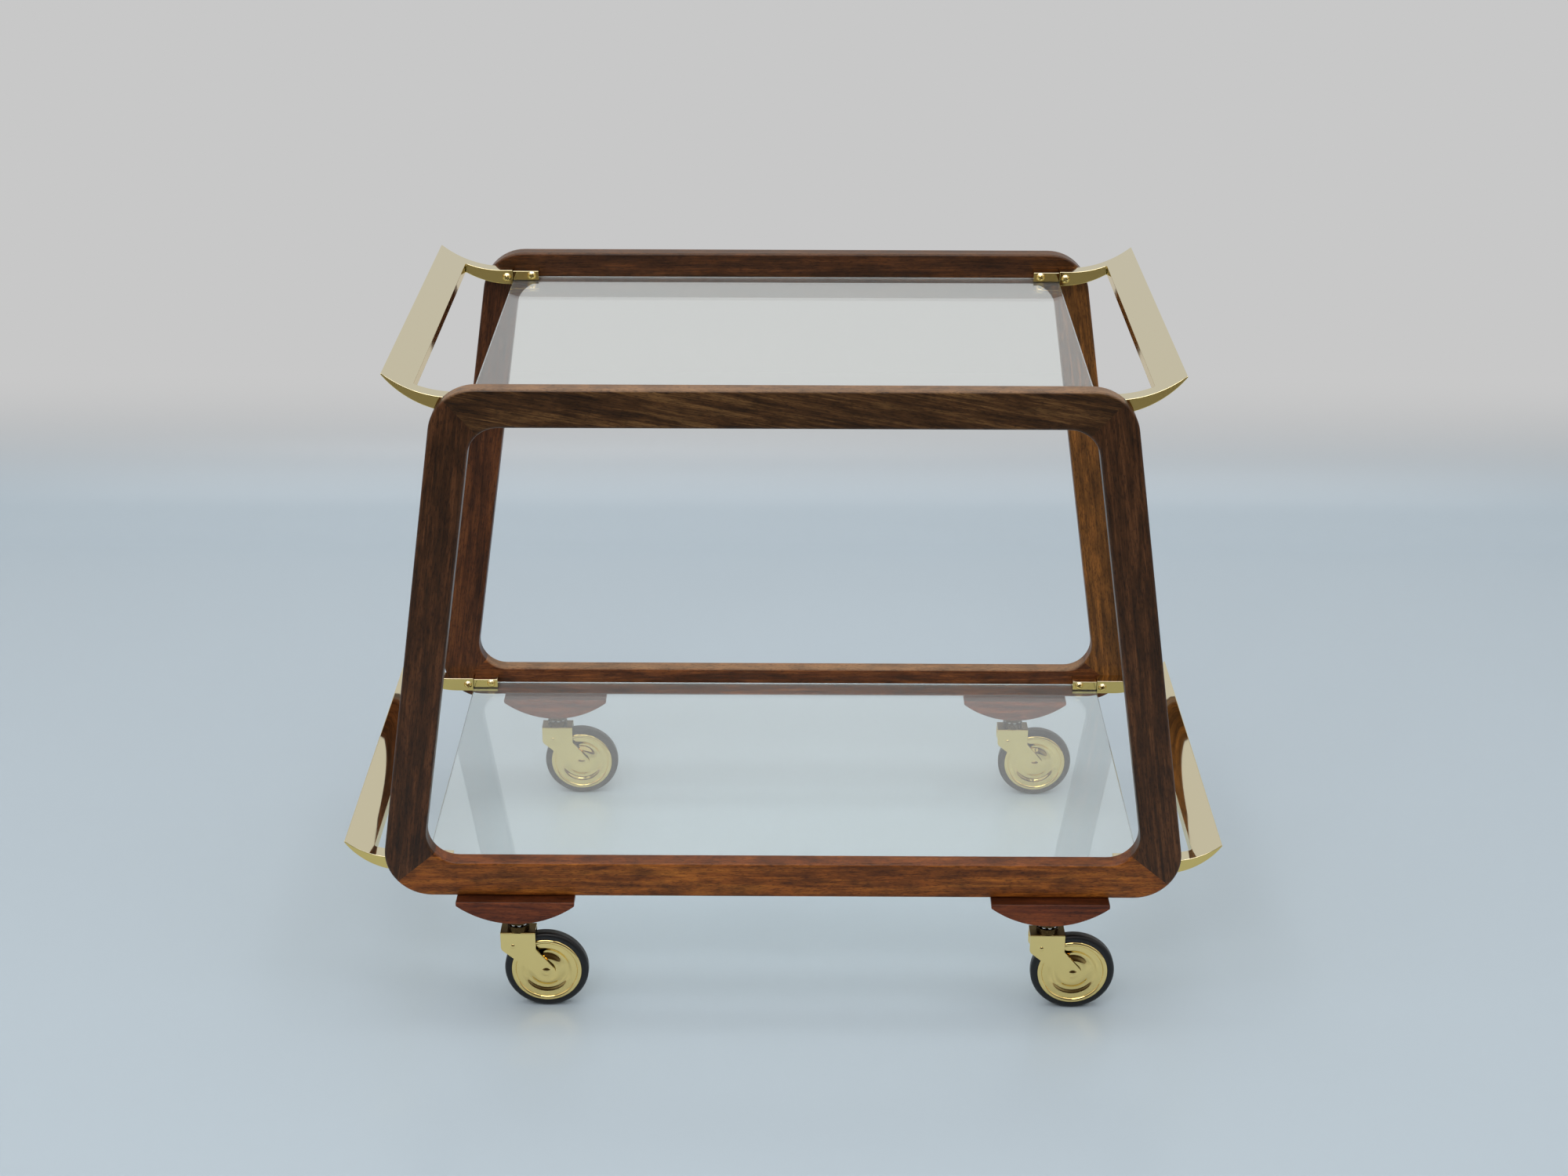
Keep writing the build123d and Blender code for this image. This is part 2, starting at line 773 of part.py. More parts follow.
def wheel_disc(x, y, side):
    """A dished pressing; side is -1 for the one towards -Y and 1 for the other."""
    bore = bush_outer_diameter / 2
    rim = wheel_radius - tyre_wall_height
    flat = tyre_web_width / 2
    raised = flat + disc_boss_height
    sunk = flat - disc_dish_depth
    bead_start = rim - disc_rim_bead
    bead_middle = rim - disc_rim_bead / 2

    def surface(lift):
        """Radius and height points of one face of the sheet, raised by lift."""
        with BuildLine(mode=Mode.PRIVATE) as line:
            Line((bore, raised + lift), (disc_boss_radius, raised + lift))
            Spline(
                (disc_boss_radius, raised + lift),
                (disc_dish_radius, sunk + lift),
                (disc_flange_radius, flat + lift),
                tangents=[(1, 0), (1, 0), (1, 0)],
            )
            Line((disc_flange_radius, flat + lift), (bead_start, flat + lift))
            ThreePointArc(
                (bead_start, flat + lift),
                (bead_middle, flat + disc_bead_height + lift),
                (rim, flat + lift),
            )
        return line

    with BuildPart() as part:
        with BuildSketch(
            Plane(origin=(x + caster_trail, y, wheel_radius), x_dir=(1, 0, 0), z_dir=(0, 0, side))
        ):
            with BuildLine():
                add(surface(0).line)
                add(surface(disc_thickness).line)
                Line((bore, raised), (bore, raised + disc_thickness))
                Line((rim, flat), (rim, flat + disc_thickness))
            make_face()
        revolve(axis=Axis((x + caster_trail, y, wheel_radius), (0, 1, 0)))
    return part


def hub_bush(x, y):
    length = 2 * (cheek_inner_face - bush_end_clearance)
    end_face = (x + caster_trail, y + length / 2, wheel_radius)
    with BuildPart() as part:
        with BuildSketch(Plane(origin=end_face, x_dir=(1, 0, 0), z_dir=(0, -1, 0))):
            Circle(bush_outer_diameter / 2)
            Circle(axle_diameter / 2 + axle_clearance, mode=Mode.SUBTRACT)
        extrude(amount=length)
    return part


for name, (x, y) in caster_places.items():
    write_part(caster_block(x, y), f"{name}_caster_block")
    write_part(socket(x, y), f"{name}_socket")
    write_part(swivel_stem(x, y), f"{name}_swivel_stem")
    write_part(bearing_balls(x, y), f"{name}_bearing_balls")
    write_part(fork(x, y), f"{name}_fork")
    write_part(fork_rivets(x, y), f"{name}_fork_rivets")
    write_part(tyre(x, y), f"{name}_tyre")
    write_part(wheel_disc(x, y, -1), f"{name}_front_disc")
    write_part(wheel_disc(x, y, 1), f"{name}_back_disc")
    write_part(hub_bush(x, y), f"{name}_hub_bush")
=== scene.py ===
from math import atan2, cos, pi, radians, sin

import bpy
from mathutils import Matrix, Vector


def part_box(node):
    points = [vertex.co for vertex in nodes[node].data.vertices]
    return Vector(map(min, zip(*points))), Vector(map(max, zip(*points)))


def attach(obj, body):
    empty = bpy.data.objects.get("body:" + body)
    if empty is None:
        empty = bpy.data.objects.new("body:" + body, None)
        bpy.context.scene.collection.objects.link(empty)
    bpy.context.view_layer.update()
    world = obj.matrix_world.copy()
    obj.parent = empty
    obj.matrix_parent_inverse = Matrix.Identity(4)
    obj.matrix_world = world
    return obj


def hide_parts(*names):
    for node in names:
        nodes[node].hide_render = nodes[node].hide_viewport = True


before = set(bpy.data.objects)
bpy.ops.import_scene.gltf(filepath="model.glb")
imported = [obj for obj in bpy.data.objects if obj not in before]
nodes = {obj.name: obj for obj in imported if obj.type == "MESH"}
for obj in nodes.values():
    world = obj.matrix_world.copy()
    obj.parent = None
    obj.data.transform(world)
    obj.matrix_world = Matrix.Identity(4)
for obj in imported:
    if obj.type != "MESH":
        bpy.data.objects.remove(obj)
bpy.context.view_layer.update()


# The view. A long lens looks down on the near side of the cart from standing
# height; the numbers come from the straight edges of the two frames.
image_width = 2000
focal_pixels = 3161.6
sensor_width = 36.0
camera_place = Vector((0.0095, -2.0915, 1.2454))
camera_pitch = radians(23.805)
camera_yaw = radians(0.272)
camera_roll = radians(0.126)

forward = Vector(
    (-sin(camera_yaw) * cos(camera_pitch), cos(camera_yaw) * cos(camera_pitch), -sin(camera_pitch))
)
level_right = Vector((cos(camera_yaw), sin(camera_yaw), 0))
level_up = level_right.cross(forward)
camera_right = cos(camera_roll) * level_right + sin(camera_roll) * level_up
camera_up = cos(camera_roll) * level_up - sin(camera_roll) * level_right
camera = bpy.data.objects.new("camera", bpy.data.cameras.new("camera"))
camera.data.sensor_width = sensor_width
camera.data.lens = focal_pixels * sensor_width / image_width
camera.data.clip_end = 50
turn = Matrix((camera_right, camera_up, -forward)).transposed().to_4x4()
camera.matrix_world = Matrix.Translation(camera_place) @ turn
bpy.context.scene.collection.objects.link(camera)
bpy.context.scene.camera = camera
bpy.context.scene.view_settings.view_transform = "Standard"


# The stand. A pale painted floor that sweeps up into a pale wall behind the
# cart, in one smooth sheet.
def hex_colour(value):
    """An sRGB hex value as a linear colour with full alpha."""
    channels = [int(value[i : i + 2], 16) / 255 for i in (1, 3, 5)]
    linear = [c / 12.92 if c <= 0.04045 else ((c + 0.055) / 1.055) ** 2.4 for c in channels]
    return (*linear, 1.0)


def add_node(material, kind, settings=None, links=None):
    """Adds one shader node. Settings name its properties or inputs, links feed its inputs."""
    tree = material.node_tree
    node = tree.nodes.new(kind)
    for key, value in (settings or {}).items():
        if isinstance(key, str) and hasattr(node, key) and key not in node.inputs:
            setattr(node, key, value)
        else:
            node.inputs[key].default_value = value
    for key, socket in (links or {}).items():
        tree.links.new(socket, node.inputs[key])
    return node


def new_material(name):
    material = bpy.data.materials.new(name)
    material.use_nodes = True
    material.node_tree.nodes.clear()
    return material


floor_front = -3.2
sweep_start = 0.86
sweep_radius = 0.16
wall_height = 4.2
stand_half_width = 4.5
sweep_steps = 16

profile = [(floor_front, 0.0), (-1.0, 0.0), (0.0, 0.0)]
for step in range(sweep_steps + 1):
    angle = pi / 2 * step / sweep_steps
    profile.append((sweep_start + sweep_radius * sin(angle), sweep_radius * (1 - cos(angle))))
profile.append((sweep_start + sweep_radius, wall_height))
stand_mesh = bpy.data.meshes.new("stand")
stand_points = [(x, y, z) for y, z in profile for x in (-stand_half_width, stand_half_width)]
stand_faces = [(2 * i, 2 * i + 1, 2 * i + 3, 2 * i + 2) for i in range(len(profile) - 1)]
stand_mesh.from_pydata(stand_points, [], stand_faces)
for face in stand_mesh.polygons:
    face.use_smooth = True
stand = bpy.data.objects.new("stand", stand_mesh)
bpy.context.scene.collection.objects.link(stand)

stand_paint = new_material("painted_floor_and_wall")
place = add_node(stand_paint, "ShaderNodeTexCoord")
parts = add_node(stand_paint, "ShaderNodeSeparateXYZ", links={0: place.outputs["Object"]})
up_the_wall = add_node(
    stand_paint,
    "ShaderNodeMapRange",
    {"interpolation_type": "SMOOTHSTEP", "From Min": 0.02, "From Max": 0.18},
    {"Value": parts.outputs["Z"]},
)
# The floor is painted softly darker in front of the cart, outside the view: painted shade for the
# dimmer room in front, which the metal mirrors.
painted_shade_towards_viewer = add_node(
    stand_paint,
    "ShaderNodeMapRange",
    {"interpolation_type": "SMOOTHSTEP", "From Min": -0.55, "From Max": -1.5},
    {"Value": parts.outputs["Y"]},
)
floor_colour = add_node(
    stand_paint,
    "ShaderNodeMix",
    {"data_type": "RGBA", 6: hex_colour("#b9c6cf"), 7: hex_colour("#868889")},
    {0: painted_shade_towards_viewer.outputs[0]},
)
paint_colour = add_node(
    stand_paint,
    "ShaderNodeMix",
    {"data_type": "RGBA", 7: hex_colour("#dcdcdc")},
    {0: up_the_wall.outputs[0], 6: floor_colour.outputs[2]},
)
paint = add_node(
    stand_paint,
    "ShaderNodeBsdfPrincipled",
    {"Roughness": 0.28, "IOR": 1.45},
    {"Base Color": paint_colour.outputs[2]},
)
# The wall shows at one even grey to the eye, in metal and through glass.
ray = add_node(stand_paint, "ShaderNodeLightPath")
seen = add_node(
    stand_paint,
    "ShaderNodeMath",
    {"operation": "ADD"},
    {0: ray.outputs["Is Camera Ray"], 1: ray.outputs["Is Glossy Ray"]},
)
seen_or_through = add_node(
    stand_paint,
    "ShaderNodeMath",
    {"operation": "ADD", "use_clamp": True},
    {0: seen.outputs[0], 1: ray.outputs["Is Transmission Ray"]},
)
wall_share = add_node(
    stand_paint,
    "ShaderNodeMath",
    {"operation": "MULTIPLY"},
    {0: seen_or_through.outputs[0], 1: up_the_wall.outputs[0]},
)
wall_grey = add_node(
    stand_paint, "ShaderNodeEmission", {"Color": hex_colour("#c8c8c8"), "Strength": 1.0}
)
sheet = add_node(
    stand_paint,
    "ShaderNodeMixShader",
    links={0: wall_share.outputs[0], 1: paint.outputs[0], 2: wall_grey.outputs[0]},
)
# The wall stands close behind the cart, so its back is clear to the eye. It
# still lights, mirrors and shades as a solid wall.
side = add_node(stand_paint, "ShaderNodeNewGeometry")
seen_from_back = add_node(
    stand_paint,
    "ShaderNodeMath",
    {"operation": "MULTIPLY"},
    {0: ray.outputs["Is Camera Ray"], 1: side.outputs["Backfacing"]},
)
clear_back = add_node(stand_paint, "ShaderNodeBsdfTransparent")
one_sided_sheet = add_node(
    stand_paint,
    "ShaderNodeMixShader",
    links={0: seen_from_back.outputs[0], 1: sheet.outputs[0], 2: clear_back.outputs[0]},
)
add_node(stand_paint, "ShaderNodeOutputMaterial", links={"Surface": one_sided_sheet.outputs[0]})
stand_mesh.materials.append(stand_paint)


# The light. A wide soft box overhead and a smaller one above the viewer, in a
# pale room that is dark only behind the viewer.
def soft_box(name, place, target, size, power):
    lamp = bpy.data.objects.new(name, bpy.data.lights.new(name, "AREA"))
    lamp.data.shape = "RECTANGLE"
    lamp.data.size, lamp.data.size_y = size
    lamp.data.energy = power
    lamp.location = place
    lamp.rotation_euler = (Vector(target) - Vector(place)).to_track_quat("-Z", "Y").to_euler()
    bpy.context.scene.collection.objects.link(lamp)


soft_box("overhead", (0.0, 0.1, 3.4), (0, 0.3, 0), (4.0, 3.0), 64)
soft_box("viewer", (-0.6, -3.0, 3.2), (0, 0, 0.3), (2.4, 1.4), 34)

room = bpy.data.worlds.new("room")
bpy.context.scene.world = room
room.use_nodes = True
room.node_tree.nodes.clear()
direction = add_node(room, "ShaderNodeTexCoord")
parts = add_node(room, "ShaderNodeSeparateXYZ", links={0: direction.outputs["Generated"]})
away_from_viewer = add_node(
    room,
    "ShaderNodeMapRange",
    {"interpolation_type": "SMOOTHSTEP", "From Min": -0.94, "From Max": -0.45},
    {"Value": parts.outputs["Y"]},
)
overhead_share = add_node(
    room,
    "ShaderNodeMapRange",
    {"interpolation_type": "SMOOTHSTEP", "From Min": -0.05, "From Max": 0.6},
    {"Value": parts.outputs["Z"]},
)
pale_room = add_node(
    room,
    "ShaderNodeMix",
    {"data_type": "RGBA", 6: hex_colour("#969492"), 7: hex_colour("#e2e2e2")},
    {0: overhead_share.outputs[0]},
)
room_colour = add_node(
    room,
    "ShaderNodeMix",
    {"data_type": "RGBA", 6: hex_colour("#33291f")},
    {0: away_from_viewer.outputs[0], 7: pale_room.outputs[2]},
)
# To the eye and through glass the room shows at the wall's even grey.
ray = add_node(room, "ShaderNodeLightPath")
seen_or_through = add_node(
    room,
    "ShaderNodeMath",
    {"operation": "ADD", "use_clamp": True},
    {0: ray.outputs["Is Camera Ray"], 1: ray.outputs["Is Transmission Ray"]},
)
shown_colour = add_node(
    room,
    "ShaderNodeMix",
    {"data_type": "RGBA", 7: hex_colour("#c8c8c8")},
    {0: seen_or_through.outputs[0], 6: room_colour.outputs[2]},
)
background = add_node(
    room, "ShaderNodeBackground", {"Strength": 1.0}, {"Color": shown_colour.outputs[2]}
)
add_node(room, "ShaderNodeOutputWorld", links={"Surface": background.outputs[0]})


# Frames. Eight bars of dark walnut, mitred, rounded over and hand rubbed with
# a satin oil varnish. Long growth streaks, fine fibres and open pores run along
# each bar. The faces that look up are painted a colour of their own, as painted light and shade.
def oiled_wood(name, turn, shift, dark, middle, light, upper, mottle):
    """Wood with its grain at the angle turn about Y from X, and painted towards upper on its upward
    faces as painted light and shade.
    """
    wood = new_material(name)
    place = add_node(wood, "ShaderNodeTexCoord")

    # Each layer is a noise stretched along the grain, with its length, depth and
    # width in metres. Growth streaks are 110 mm long and 6 mm wide, fibres 30 by
    # 1 mm and dark mottling clouds 28 by 9 mm. Pores are dark dashes of 4.5 by
    # 0.8 mm, twice as coarse as the real ones so that they show.
    grain_layers = {
        "streaks": ((0.110, 0.012, 0.006), 4.0, 0.6, 0.8),
        "fibres": ((0.030, 0.003, 0.0010), 3.0, 0.65, 0.0),
        "clouds": ((0.028, 0.012, 0.009), 5.0, 0.68, 0.0),
        "pores": ((0.0045, 0.0009, 0.0008), 1.0, 0.5, 0.0),
    }
    grain = {}
    for layer, (size, detail, roughness, distortion) in grain_layers.items():
        along_grain = add_node(
            wood,
            "ShaderNodeMapping",
            {
                "vector_type": "TEXTURE",
                "Location": shift,
                "Rotation": (0, turn, 0),
                "Scale": size,
            },
            {"Vector": place.outputs["Object"]},
        )
        noise = add_node(
            wood,
            "ShaderNodeTexNoise",
            {"Scale": 1.0, "Detail": detail, "Roughness": roughness, "Distortion": distortion},
            {"Vector": along_grain.outputs[0]},
        )
        grain[layer] = noise.outputs[0]
    figure = add_node(
        wood,
        "ShaderNodeMath",
        {"operation": "MULTIPLY_ADD", 1: 0.6},
        {0: grain["fibres"], 2: grain["streaks"]},
    )
    ramp = add_node(wood, "ShaderNodeValToRGB", links={0: figure.outputs[0]})
    ramp.color_ramp.elements[0].position = 0.58
    ramp.color_ramp.elements[0].color = hex_colour(dark)
    ramp.color_ramp.elements[1].position = 0.98
    ramp.color_ramp.elements[1].color = hex_colour(light)
    ramp.color_ramp.elements.new(0.80).color = hex_colour(middle)
    cloud_shade = add_node(
        wood,
        "ShaderNodeMapRange",
        {"From Min": 0.36, "From Max": 0.60, "To Min": 1.0 - mottle, "To Max": 1.08},
        {"Value": grain["clouds"]},
    )
    pore_marks = add_node(
        wood,
        "ShaderNodeMapRange",
        {"From Min": 0.34, "From Max": 0.46},
        {"Value": grain["pores"]},
    )
    pore_shade = add_node(
        wood, "ShaderNodeMapRange", {"To Min": 0.55}, {"Value": pore_marks.outputs[0]}
    )
    # The faces that look up are painted towards a colour of their own: painted light on some bars and
    # painted shade on others, for how those faces catch the light.
    facing = add_node(wood, "ShaderNodeSeparateXYZ", links={0: place.outputs["Normal"]})
    upward = add_node(
        wood,
        "ShaderNodeMapRange",
        {
            "interpolation_type": "SMOOTHSTEP",
            "From Min": 0.35,
            "From Max": 0.95,
            "To Max": 0.7,
        },
        {"Value": facing.outputs["Z"]},
    )
    top_painted_light_and_shade = add_node(
        wood,
        "ShaderNodeMix",
        {"data_type": "RGBA", 7: hex_colour(upper)},
        {0: upward.outputs[0], 6: ramp.outputs[0]},
    )
    shade = add_node(
        wood,
        "ShaderNodeMath",
        {"operation": "MULTIPLY"},
        {0: cloud_shade.outputs[0], 1: pore_shade.outputs[0]},
    )
    colour = add_node(
        wood,
        "ShaderNodeVectorMath",
        {"operation": "SCALE"},
        {0: top_painted_light_and_shade.outputs[2], 3: shade.outputs[0]},
    )
    sheen_patches = add_node(
        wood,
        "ShaderNodeMapRange",
        {"From Min": 0.3, "From Max": 0.7, "To Min": 0.30, "To Max": 0.42},
        {"Value": grain["clouds"]},
    )
    relief = add_node(
        wood,
        "ShaderNodeBump",
        {"Strength": 0.2, "Distance": 0.00015},
        {"Height": pore_marks.outputs[0]},
    )
    surface = add_node(
        wood,
        "ShaderNodeBsdfPrincipled",
        {"IOR": 1.48, "Specular IOR Level": 0.3},
        {
            "Base Color": colour.outputs[0],
            "Roughness": sheen_patches.outputs[0],
            "Normal": relief.outputs[0],
        },
    )
    add_node(wood, "ShaderNodeOutputMaterial", links={"Surface": surface.outputs[0]})
    return wood


def set_material(node_name, material):
    nodes[node_name].data.materials.clear()
    nodes[node_name].data.materials.append(material)


leg_width_level = 0.0344


def leg_turn(node_name):
    """The grain's angle about Y on a leaning leg, from its box and its width."""
    low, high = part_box(node_name)
    run = (high.x - low.x) - leg_width_level
    lean = atan2(run, high.z - low.z)
    return -(pi / 2 - lean) if "left" in node_name else -(pi / 2 + lean)


# The fifth value of each bar is the colour painted on its upward faces: painted light where it is
# lighter than the wood, painted shade where it is darker.
walnut = {
    "near_top_rail": (radians(10), "#33200f", "#54361b", "#7e5a34", "#9c7858", 0.40),
    "near_bottom_rail": (0.0, "#6a360e", "#99541c", "#bb7028", "#6b3a20", 0.55),
    "near_left_leg": (None, "#33200f", "#4f2f17", "#6b4225", "#5a3a24", 0.38),
    "near_right_leg": (None, "#34200f", "#513118", "#6d4527", "#5a3a24", 0.38),
    "far_top_rail": (0.0, "#331a08", "#4a290f", "#683b17", "#6a4a30", 0.40),
    "far_bottom_rail": (0.0, "#43240f", "#653617", "#915326", "#a8825c", 0.40),
    "far_left_leg": (None, "#3a1f0e", "#593219", "#764422", "#5a3a24", 0.38),
    "far_right_leg": (None, "#523313", "#774b1f", "#a0652c", "#5a3a24", 0.38),
}
for index, (name, (turn_angle, *finish)) in enumerate(walnut.items()):
    angle = leg_turn(name) if turn_angle is None else turn_angle
    shift = (0.31 * index, 0.17 * index, 0.23 * index)
    set_material(name, oiled_wood("walnut_" + name, angle, shift, *finish))

# Tongues. Loose beech strips, planed and glued inside the mitres, where they
# only show if a corner opens.
set_material(
    "corner_tongues",
    oiled_wood(
        "planed_beech", radians(45), (0.5, 0.2, 0.1), "#94714a", "#ad8759", "#c49c6b", "#ad8759", 0.15
    ),
)


# Caster blocks. Short reddish hardwood blocks, rounded underneath, oiled
# like the frames and screwed up into the bottom rails. Their upward faces, in the
# rails' shadow, are painted near black as painted shade.
corners = [side + "_" + end for side in ("near", "far") for end in ("left", "right")]
for index, corner in enumerate(corners):
    shift = (0.41 * index + 0.2, 0.13 * index, 0.19 * index)
    material = oiled_wood(
        "block_wood_" + corner, 0.0, shift, "#4a1f0c", "#733618", "#8f4820", "#1d0f09", 0.3
    )
    set_material(corner + "_caster_block", material)


# Shelves. Clear float glass, 5.6 mm thick, cut to size with its edges ground and
# polished. The eye gets clear faces under a thin film of dust, which mirror the
# wall at a low angle, and narrow edges in a deeper grey green.
glass = new_material("clear_float_glass")
place = add_node(glass, "ShaderNodeTexCoord")
facing = add_node(glass, "ShaderNodeSeparateXYZ", links={0: place.outputs["Normal"]})
flatness = add_node(
    glass, "ShaderNodeMath", {"operation": "ABSOLUTE"}, {0: facing.outputs["Z"]}
)
edge_share = add_node(
    glass,
    "ShaderNodeMapRange",
    {"interpolation_type": "SMOOTHSTEP", "From Min": 0.95, "From Max": 0.5},
    {"Value": flatness.outputs[0]},
)
glass_colour = add_node(
    glass,
    "ShaderNodeMix",
    {"data_type": "RGBA", 6: hex_colour("#fbfefc"), 7: hex_colour("#7d8d7c")},
    {0: edge_share.outputs[0]},
)
# Wiping haze: patches about 60 mm across, far too faint to blur what lies
# behind. The ground edges are a little rougher.
haze = add_node(
    glass,
    "ShaderNodeTexNoise",
    {"Scale": 16.0, "Detail": 3.0, "Roughness": 0.55},
    {"Vector": place.outputs["Object"]},
)
haze_level = add_node(
    glass,
    "ShaderNodeMapRange",
    {"From Min": 0.45, "From Max": 0.8, "To Max": 0.02},
    {"Value": haze.outputs[0]},
)
glass_roughness = add_node(
    glass,
    "ShaderNodeMath",
    {"operation": "MULTIPLY_ADD", 1: 0.08},
    {0: edge_share.outputs[0], 2: haze_level.outputs[0]},
)
glass_surface = add_node(
    glass,
    "ShaderNodeBsdfPrincipled",
    {"IOR": 1.52, "Transmission Weight": 0.96},
    {"Base Color": glass_colour.outputs[2], "Roughness": glass_roughness.outputs[0]},
)
add_node(glass, "ShaderNodeOutputMaterial", links={"Surface": glass_surface.outputs[0]})
for name in ("upper_glass_shelf", "lower_glass_shelf"):
    set_material(name, glass)
    nodes[name].visible_shadow = False


# Handles, clips and screws. Solid brass, polished and clear lacquered. The eye
# gets a pale yellow mirror with faint wiping marks. The upper faces are painted
# paler, a painted highlight for the bright light they mirror.
def polished_brass(name, sides, upper, gloss, upper_gloss):
    """Brass in the colour sides, and in the colour upper where it faces up, a painted light and shade
    on the upward faces.
    """
    brass = new_material(name)
    place = add_node(brass, "ShaderNodeTexCoord")
    # Wiping marks: soft patches about 25 mm across with a grain of 2 mm.
    patches = add_node(
        brass,
        "ShaderNodeTexNoise",
        {"Scale": 40.0, "Detail": 5.0, "Roughness": 0.6},
        {"Vector": place.outputs["Object"]},
    )
    facing = add_node(brass, "ShaderNodeSeparateXYZ", links={0: place.outputs["Normal"]})
    upward = add_node(
        brass,
        "ShaderNodeMapRange",
        {"interpolation_type": "SMOOTHSTEP", "From Min": 0.35, "From Max": 0.75},
        {"Value": facing.outputs["Z"]},
    )
    colour = add_node(
        brass,
        "ShaderNodeMix",
        {"data_type": "RGBA", 6: hex_colour(sides), 7: hex_colour(upper)},
        {0: upward.outputs[0]},
    )
    gloss_level = add_node(
        brass,
        "ShaderNodeMapRange",
        {"To Min": gloss, "To Max": upper_gloss},
        {"Value": upward.outputs[0]},
    )
    haze = add_node(
        brass,
        "ShaderNodeMapRange",
        {"From Min": 0.35, "From Max": 0.75, "To Min": 0.75, "To Max": 1.6},
        {"Value": patches.outputs[0]},
    )
    roughness = add_node(
        brass,
        "ShaderNodeMath",
        {"operation": "MULTIPLY"},
        {0: gloss_level.outputs[0], 1: haze.outputs[0]},
    )
    surface = add_node(
        brass,
        "ShaderNodeBsdfPrincipled",
        {"Metallic": 1.0},
        {"Base Color": colour.outputs[2], "Roughness": roughness.outputs[0]},
    )
    add_node(brass, "ShaderNodeOutputMaterial", links={"Surface": surface.outputs[0]})
    return brass


handle_brass = polished_brass("polished_brass", "#e9cd7e", "#f5eac6", 0.05, 0.04)
for name in nodes:
    if name.endswith(("handle", "clips", "shelf_screws")):
        set_material(name, handle_brass)

# Forks, rivets and wheel discs. Yellow brass sheet and wire, pressed, headed and
# polished. Only the top of the fork, under the block, is left dull, and it is painted dark brown
# there as painted shade under the block.
caster_brass = polished_brass("yellow_brass", "#f6dc92", "#6a5630", 0.03, 0.35)
disc_brass = polished_brass("pressed_brass", "#f6dc92", "#f6dc92", 0.03, 0.03)
for name in nodes:
    if name.endswith("_fork"):
        set_material(name, caster_brass)
    if name.endswith(("_rivets", "_disc")):
        set_material(name, disc_brass)


# Swivel sockets and stems. Turned brass, painted dark brown as painted shade
# under the blocks, with grease gathered in soft patches about 3 mm across.
def turned_metal(name, clean, stained, gloss):
    metal = new_material(name)
    place = add_node(metal, "ShaderNodeTexCoord")
    stains = add_node(
        metal,
        "ShaderNodeTexNoise",
        {"Scale": 330.0, "Detail": 3.0, "Roughness": 0.6},
        {"Vector": place.outputs["Object"]},
    )
    colour = add_node(
        metal,
        "ShaderNodeMix",
        {"data_type": "RGBA", 6: hex_colour(clean), 7: hex_colour(stained)},
        {0: stains.outputs[0]},
    )
    roughness = add_node(
        metal,
        "ShaderNodeMapRange",
        {"From Min": 0.3, "From Max": 0.7, "To Min": gloss, "To Max": gloss * 2},
        {"Value": stains.outputs[0]},
    )
    surface = add_node(
        metal,
        "ShaderNodeBsdfPrincipled",
        {"Metallic": 1.0},
        {"Base Color": colour.outputs[2], "Roughness": roughness.outputs[0]},
    )
    add_node(metal, "ShaderNodeOutputMaterial", links={"Surface": surface.outputs[0]})
    return metal


shade_darkened_brass = turned_metal("shade_darkened_brass", "#66502e", "#35281a", 0.18)
for name in nodes:
    if name.endswith(("_socket", "_stem")):
        set_material(name, shade_darkened_brass)

# Hub bushes and block screws. Plain bright steel, turned and left bare. A bush
# sits in each wheel, and the screws hold the blocks up to the bottom rails.
bright_steel = turned_metal("bright_steel", "#b4b1ab", "#8c8780", 0.22)
for name in nodes:
    if name.endswith(("_bush", "block_screws")):
        set_material(name, bright_steel)


# Bearing balls. Nine hardened and polished steel balls in each swivel, set in a
# ring between the races.
ball_steel = turned_metal("polished_ball_steel", "#e4e2de", "#c8c4bd", 0.05)
ball_count = 9
ball_diameter = 0.0042
ball_ring_radius = 0.0070

ring_tree = bpy.data.node_groups.new("ring_of_balls", "GeometryNodeTree")
for socket_name, socket_kind in (
    ("Count", "NodeSocketInt"),
    ("Ring Radius", "NodeSocketFloat"),
    ("Ball Radius", "NodeSocketFloat"),
    ("Centre", "NodeSocketVector"),
    ("Material", "NodeSocketMaterial"),
):
    ring_tree.interface.new_socket(socket_name, in_out="INPUT", socket_type=socket_kind)
ring_tree.interface.new_socket("Geometry", in_out="OUTPUT", socket_type="NodeSocketGeometry")
ring_in = ring_tree.nodes.new("NodeGroupInput")
ring_out = ring_tree.nodes.new("NodeGroupOutput")
ring_points = ring_tree.nodes.new("GeometryNodeMeshCircle")
one_ball = ring_tree.nodes.new("GeometryNodeMeshUVSphere")
one_ball.inputs["Segments"].default_value = 24
one_ball.inputs["Rings"].default_value = 16
set_balls = ring_tree.nodes.new("GeometryNodeInstanceOnPoints")
move_ring = ring_tree.nodes.new("GeometryNodeTransform")
make_real = ring_tree.nodes.new("GeometryNodeRealizeInstances")
smooth = ring_tree.nodes.new("GeometryNodeSetShadeSmooth")
give_steel = ring_tree.nodes.new("GeometryNodeSetMaterial")
for start, end in (
    (ring_in.outputs["Count"], ring_points.inputs["Vertices"]),
    (ring_in.outputs["Ring Radius"], ring_points.inputs["Radius"]),
    (ring_in.outputs["Ball Radius"], one_ball.inputs["Radius"]),
    (ring_points.outputs["Mesh"], set_balls.inputs["Points"]),
    (one_ball.outputs["Mesh"], set_balls.inputs["Instance"]),
    (set_balls.outputs["Instances"], move_ring.inputs["Geometry"]),
    (ring_in.outputs["Centre"], move_ring.inputs["Translation"]),
    (move_ring.outputs["Geometry"], make_real.inputs["Geometry"]),
    (make_real.outputs["Geometry"], smooth.inputs["Geometry"]),
    (smooth.outputs["Geometry"], give_steel.inputs["Geometry"]),
    (ring_in.outputs["Material"], give_steel.inputs["Material"]),
    (give_steel.outputs["Geometry"], ring_out.inputs["Geometry"]),
):
    ring_tree.links.new(start, end)

